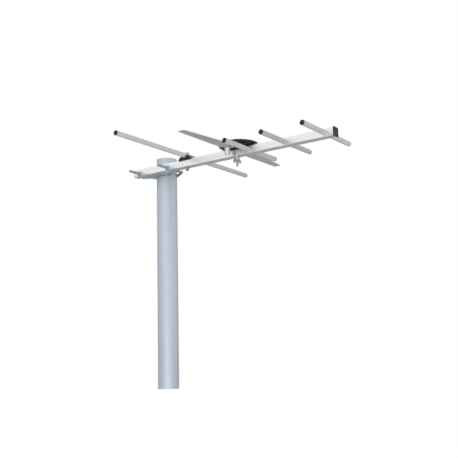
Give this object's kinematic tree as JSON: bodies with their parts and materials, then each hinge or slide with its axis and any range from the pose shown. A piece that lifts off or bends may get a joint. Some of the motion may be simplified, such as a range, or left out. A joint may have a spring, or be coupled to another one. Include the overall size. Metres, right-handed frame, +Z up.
{
  "type": "outdoor tv antenna",
  "caption": "Small UHF yagi TV antenna: square boom with round reflector and directors, flat blade dipole with a round connection box, V-bolt clamped to a short tube mast.",
  "frame": {"origin": "centre of the mast's open foot, on the mast axis", "axes": "+Z up the mast, +X forward along the boom from the mast towards the directors, -Y towards the side of the boom that faces away from the mast"},
  "size_m": [0.4261, 0.374, 0.4255],
  "materials": {
    "galvanised_steel": "galvanised, dull, with faint streaks along the tube",
    "aluminium": "bare, drawn",
    "black_plastic": "moulded, satin",
    "zinc_steel": "zinc plated, slightly blue-green",
    "nickel": "bright nickel plate",
    "white_insulator": "satin",
    "contact_brass": "plain",
    "circuit_board": "solder mask",
    "ferrite": "sintered",
    "seal_rubber": "matte"
  },
  "bodies": {
    "mast": {"mast": "galvanised_steel"},
    "antenna": {"balun_board": "circuit_board", "balun_core": "ferrite", "blade_nut_far": "zinc_steel", "blade_nut_near": "zinc_steel", "blade_screw_far": "zinc_steel", "blade_screw_near": "zinc_steel", "boom": "aluminium", "boom_front_cap": "black_plastic", "boom_rear_cap": "black_plastic", "clamp_jaw": "zinc_steel", "clamp_nut_front": "zinc_steel", "clamp_nut_rear": "zinc_steel", "clamp_v_bolt": "zinc_steel", "clamp_washer_front": "zinc_steel", "clamp_washer_rear": "zinc_steel", "connector_body": "nickel", "connector_contact": "contact_brass", "connector_insulator": "white_insulator", "connector_nut": "nickel", "dipole_blade_far": "aluminium", "dipole_blade_near": "aluminium", "dipole_bolt": "zinc_steel", "dipole_washer": "zinc_steel", "director_1_cap_far": "black_plastic", "director_1_cap_near": "black_plastic", "director_1_rivet": "aluminium", "director_1_tube": "aluminium", "director_2_cap_far": "black_plastic", "director_2_cap_near": "black_plastic", "director_2_rivet": "aluminium", "director_2_tube": "aluminium", "director_3_cap_far": "black_plastic", "director_3_cap_near": "black_plastic", "director_3_rivet": "aluminium", "director_3_tube": "aluminium", "housing_base": "black_plastic", "housing_lid": "black_plastic", "housing_seal": "seal_rubber", "reflector_bolt": "zinc_steel", "reflector_bottom_washer": "zinc_steel", "reflector_cap_far": "black_plastic", "reflector_cap_near": "black_plastic", "reflector_nut": "zinc_steel", "reflector_saddle": "black_plastic", "reflector_top_washer": "zinc_steel", "reflector_tube": "aluminium", "wing_nut": "zinc_steel"}
  },
  "joints": [
    {"name": "aim", "type": "hinge", "parent": "mast", "child": "antenna", "pos_m": [0, 0, 0.399], "axis": [0, 0, 1], "continuous": true}
  ]
}
